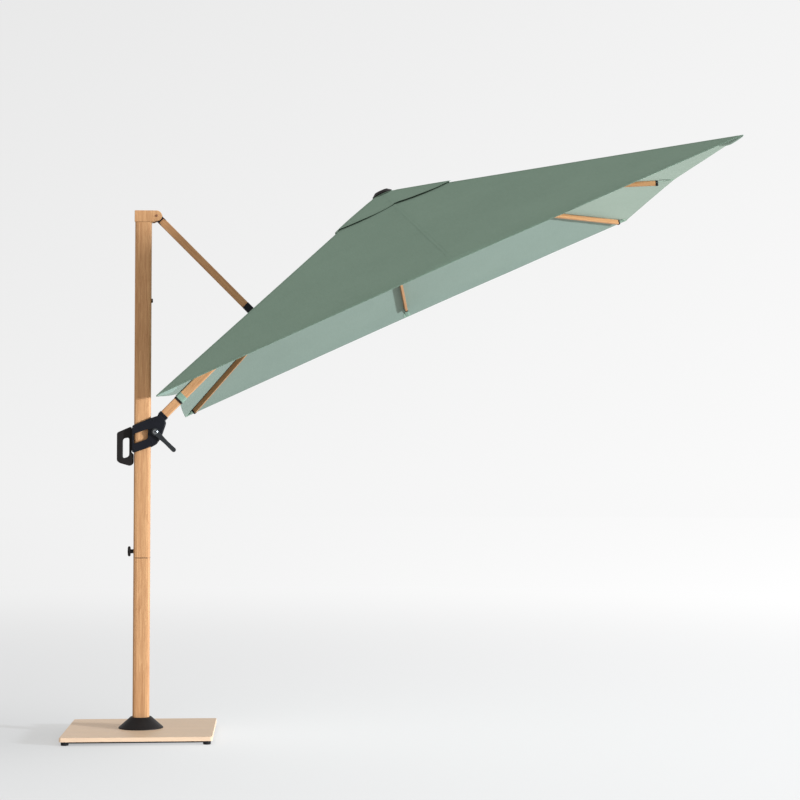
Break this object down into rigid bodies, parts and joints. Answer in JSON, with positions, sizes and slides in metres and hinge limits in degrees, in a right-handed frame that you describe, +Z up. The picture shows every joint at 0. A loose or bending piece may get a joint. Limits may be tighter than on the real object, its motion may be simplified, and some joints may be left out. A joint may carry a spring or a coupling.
{
  "type": "cantilever parasol",
  "caption": "Square tilting garden parasol hung from a side mast by a sliding carriage, arm and strut, on a flat weighted base, with a folding rib frame under a vented fabric canopy.",
  "frame": {"origin": "on the floor under the axis of the mast, at the centre of the base", "axes": "+X from the mast towards the canopy, +Z up, +Y to the far side when the canopy is to the right"},
  "size_m": [3.2859, 3, 3.0004],
  "materials": {
    "wood_look_tube": "satin",
    "wood_look_cover": "satin",
    "ballast": "matte",
    "rubber": "matte",
    "black_plastic": "satin",
    "black_metal": "matte",
    "steel": "satin",
    "fabric": "matte"
  },
  "bodies": {
    "base": {"base_cover": "wood_look_cover", "ballast_plate": "ballast", "foot_near_left": "rubber", "foot_near_right": "rubber", "foot_far_left": "rubber", "foot_far_right": "rubber", "centre_foot": "rubber", "cone_collar": "black_plastic", "spigot": "steel"},
    "mast": {"lower_mast": "wood_look_tube", "upper_mast": "wood_look_tube", "mast_insert": "steel", "mast_head": "wood_look_tube", "head_pin": "steel"},
    "lock_knob": {"lock_knob": "black_plastic"},
    "stop_button": {"stop_button": "black_plastic"},
    "strut": {"strut_upper_end": "black_metal", "strut_tube": "wood_look_tube", "strut_fork": "black_metal"},
    "arm": {"arm_socket": "black_metal", "arm_tube": "wood_look_tube", "arm_hub_end": "black_metal", "knee_lug": "black_metal", "knee_pin": "steel", "strap_band": "black_plastic", "arm_strap": "fabric"},
    "carriage": {"cheek_near": "black_plastic", "cheek_far": "black_plastic", "handle": "black_plastic", "guide_left": "black_plastic", "guide_right": "black_plastic", "pivot_bolt": "steel", "pivot_nut": "steel"},
    "clamp_lever": {"clamp_lever": "black_plastic"},
    "crown": {"crown_hub": "black_plastic", "top_cap": "black_plastic", "canopy": "fabric", "vent": "fabric"},
    "runner": {"runner": "black_plastic"},
    "rib_right": {"rib_right": "wood_look_tube"},
    "stretcher_right": {"stretcher_right": "black_metal"},
    "rib_far_right": {"rib_far_right": "wood_look_tube"},
    "stretcher_far_right": {"stretcher_far_right": "black_metal"},
    "rib_far": {"rib_far": "wood_look_tube"},
    "stretcher_far": {"stretcher_far": "black_metal"},
    "rib_far_left": {"rib_far_left": "wood_look_tube"},
    "stretcher_far_left": {"stretcher_far_left": "black_metal"},
    "stretcher_arm": {"stretcher_arm": "black_metal"},
    "rib_near_left": {"rib_near_left": "wood_look_tube"},
    "stretcher_near_left": {"stretcher_near_left": "black_metal"},
    "rib_near": {"rib_near": "wood_look_tube"},
    "stretcher_near": {"stretcher_near": "black_metal"},
    "rib_near_right": {"rib_near_right": "wood_look_tube"},
    "stretcher_near_right": {"stretcher_near_right": "black_metal"}
  },
  "joints": [
    {"name": "mast_turn", "type": "hinge", "parent": "base", "child": "mast", "pos_m": [0, 0, 0.05], "axis": [0, 0, 1], "continuous": true},
    {"name": "lock_knob_turn", "type": "hinge", "parent": "mast", "child": "lock_knob", "pos_m": [-0.044, 0, 0.976], "axis": [-1, 0, 0], "continuous": true},
    {"name": "stop_button_press", "type": "slide", "parent": "mast", "child": "stop_button", "axis": [-1, 0, 0], "range_m": [0, 0.005], "stiffness_N_per_m": 600, "springref_m": -0.004},
    {"name": "raise", "type": "hinge", "parent": "mast", "child": "strut", "pos_m": [0.071, 0, 2.7707], "axis": [0, 1, 0], "range_deg": [-24, 22]},
    {"name": "knee", "type": "hinge", "parent": "strut", "child": "arm", "pos_m": [0.65075, 0, 2.19095], "axis": [0, 1, 0], "range_deg": [-44, 48]},
    {"name": "carriage_pin", "type": "hinge", "parent": "arm", "child": "carriage", "pos_m": [0.071, 0, 1.6112], "axis": [0, 1, 0], "range_deg": [-24, 22]},
    {"name": "clamp_lever_turn", "type": "hinge", "parent": "carriage", "child": "clamp_lever", "pos_m": [0.071, 0, 1.6112], "axis": [0, 1, 0], "range_deg": [0, 80]},
    {"name": "fold", "type": "hinge", "parent": "arm", "child": "crown", "pos_m": [1.24075, 0, 2.85081], "axis": [0, 1, 0], "range_deg": [0, 63.5], "deforming": ["canopy", "vent"]},
    {"name": "rib_right_hinge", "type": "hinge", "parent": "crown", "child": "rib_right", "pos_m": [1.35012, 0, 2.90019], "axis": [0, 1, 0], "range_deg": [0, 63.5]},
    {"name": "stretcher_right_hinge", "type": "hinge", "parent": "rib_right", "child": "stretcher_right", "pos_m": [1.84939, 0, 2.92723], "axis": [0, 1, 0], "range_deg": [-127, 0]},
    {"name": "rib_far_right_hinge", "type": "hinge", "parent": "crown", "child": "rib_far_right", "pos_m": [1.3341, 0.04243, 2.89296], "axis": [-0.6445, 0.7071, -0.291], "range_deg": [0, 69.44]},
    {"name": "stretcher_far_right_hinge", "type": "hinge", "parent": "rib_far_right", "child": "stretcher_far_right", "pos_m": [1.6546, 0.34008, 2.90645], "axis": [-0.6445, 0.7071, -0.291], "range_deg": [-138.88, 0]},
    {"name": "rib_far_hinge", "type": "hinge", "parent": "crown", "child": "rib_far", "pos_m": [1.29544, 0.06, 2.8755], "axis": [-0.9114, 0, -0.4115], "range_deg": [0, 63.5]},
    {"name": "stretcher_far_hinge", "type": "hinge", "parent": "rib_far", "child": "stretcher_far", "pos_m": [1.36984, 0.52616, 2.71071], "axis": [-0.9114, 0, -0.4115], "range_deg": [-127, 0]},
    {"name": "rib_far_left_hinge", "type": "hinge", "parent": "crown", "child": "rib_far_left", "pos_m": [1.25677, 0.04243, 2.85804], "axis": [-0.6445, -0.7071, -0.291], "range_deg": [0, 69.44]},
    {"name": "stretcher_far_left_hinge", "type": "hinge", "parent": "rib_far_left", "child": "stretcher_far_left", "pos_m": [1.0347, 0.34008, 2.62656], "axis": [-0.6445, -0.7071, -0.291], "range_deg": [-138.88, 0]},
    {"name": "stretcher_arm_hinge", "type": "hinge", "parent": "arm", "child": "stretcher_arm", "pos_m": [0.8903, 0, 2.49418], "axis": [0, 1, 0], "range_deg": [0, 127]},
    {"name": "rib_near_left_hinge", "type": "hinge", "parent": "crown", "child": "rib_near_left", "pos_m": [1.25677, -0.04243, 2.85804], "axis": [0.6445, -0.7071, 0.291], "range_deg": [0, 69.44]},
    {"name": "stretcher_near_left_hinge", "type": "hinge", "parent": "rib_near_left", "child": "stretcher_near_left", "pos_m": [1.0347, -0.34008, 2.62656], "axis": [0.6445, -0.7071, 0.291], "range_deg": [-138.88, 0]},
    {"name": "rib_near_hinge", "type": "hinge", "parent": "crown", "child": "rib_near", "pos_m": [1.29544, -0.06, 2.8755], "axis": [0.9114, 0, 0.4115], "range_deg": [0, 63.5]},
    {"name": "stretcher_near_hinge", "type": "hinge", "parent": "rib_near", "child": "stretcher_near", "pos_m": [1.36984, -0.52616, 2.71071], "axis": [0.9114, 0, 0.4115], "range_deg": [-127, 0]},
    {"name": "rib_near_right_hinge", "type": "hinge", "parent": "crown", "child": "rib_near_right", "pos_m": [1.3341, -0.04243, 2.89296], "axis": [0.6445, 0.7071, 0.291], "range_deg": [0, 69.44]},
    {"name": "stretcher_near_right_hinge", "type": "hinge", "parent": "rib_near_right", "child": "stretcher_near_right", "pos_m": [1.6546, -0.34008, 2.90645], "axis": [0.6445, 0.7071, 0.291], "range_deg": [-138.88, 0]},
    {"name": "runner_hinge", "type": "hinge", "parent": "stretcher_arm", "child": "runner", "pos_m": [1.38957, 0, 2.52122], "axis": [0, 1, 0], "range_deg": [-63.5, 0]}
  ],
  "couplings": [
    {"joint": "knee", "follows": "raise", "ratio": -2},
    {"joint": "carriage_pin", "follows": "raise", "ratio": 1},
    {"joint": "rib_right_hinge", "follows": "fold", "ratio": 1},
    {"joint": "stretcher_right_hinge", "follows": "fold", "ratio": -2},
    {"joint": "rib_far_right_hinge", "follows": "fold", "ratio": 1.0935},
    {"joint": "stretcher_far_right_hinge", "follows": "fold", "ratio": -2.187},
    {"joint": "rib_far_hinge", "follows": "fold", "ratio": 1},
    {"joint": "stretcher_far_hinge", "follows": "fold", "ratio": -2},
    {"joint": "rib_far_left_hinge", "follows": "fold", "ratio": 1.0935},
    {"joint": "stretcher_far_left_hinge", "follows": "fold", "ratio": -2.187},
    {"joint": "stretcher_arm_hinge", "follows": "fold", "ratio": 2},
    {"joint": "rib_near_left_hinge", "follows": "fold", "ratio": 1.0935},
    {"joint": "stretcher_near_left_hinge", "follows": "fold", "ratio": -2.187},
    {"joint": "rib_near_hinge", "follows": "fold", "ratio": 1},
    {"joint": "stretcher_near_hinge", "follows": "fold", "ratio": -2},
    {"joint": "rib_near_right_hinge", "follows": "fold", "ratio": 1.0935},
    {"joint": "stretcher_near_right_hinge", "follows": "fold", "ratio": -2.187},
    {"joint": "runner_hinge", "follows": "fold", "ratio": -1}
  ]
}
